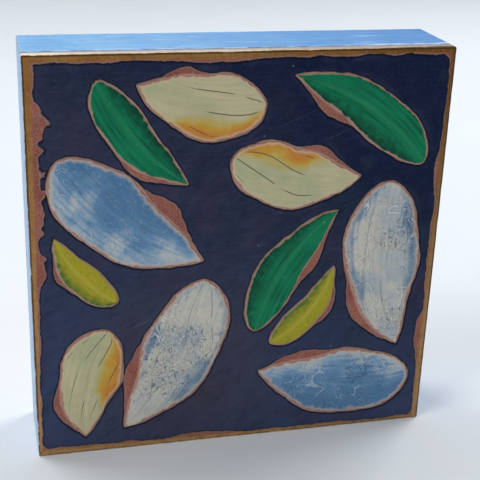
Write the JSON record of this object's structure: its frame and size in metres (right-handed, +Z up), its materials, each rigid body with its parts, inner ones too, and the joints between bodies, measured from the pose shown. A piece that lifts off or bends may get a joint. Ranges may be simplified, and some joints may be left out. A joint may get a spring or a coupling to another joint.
{
  "type": "cradled painted wood panel",
  "caption": "Deep square wooden painting panel on a mitred cradle, its face coated in dark paint with raised leaf shapes; stands on its base or hangs by its top rail.",
  "frame": {"origin": "middle of the panel's footprint, on the surface it stands on, relief included in the depth", "axes": "+Z up, X across the painted face, +Y from the painted face to the open back"},
  "size_m": [0.2032, 0.046, 0.2032],
  "materials": {
    "plywood": "birch plywood, bare at the edges and back, ochre wash on the front",
    "painted_rail": "pine, brushed with light blue acrylic on the outer faces, bare inside",
    "sienna_coat": "matte speckled acrylic ground",
    "navy_coat": "satin acrylic, brushed thin over the ground",
    "pale_paste": "thick modelling paste, worked with a knife",
    "sky_paste": "thick modelling paste, glazed blue",
    "cream_paint": "smooth satin acrylic with incised lines",
    "green_paint": "satin acrylic, streaked along the leaf",
    "lime_paint": "satin acrylic, dabbed"
  },
  "bodies": {
    "root": {"face_board": "plywood", "rail_bottom": "painted_rail", "rail_right": "painted_rail", "rail_top": "painted_rail", "rail_left": "painted_rail", "sienna_ground": "sienna_coat", "navy_field": "navy_coat", "leaf_pale_right": "pale_paste", "leaf_pale_low": "pale_paste", "leaf_sky_left": "sky_paste", "leaf_sky_low": "sky_paste", "leaf_cream_mid": "cream_paint", "leaf_cream_top": "cream_paint", "leaf_cream_low": "cream_paint", "leaf_green_top": "green_paint", "leaf_green_mid": "green_paint", "leaf_green_left": "green_paint", "leaf_lime_mid": "lime_paint", "leaf_lime_left": "lime_paint"}
  },
  "joints": []
}
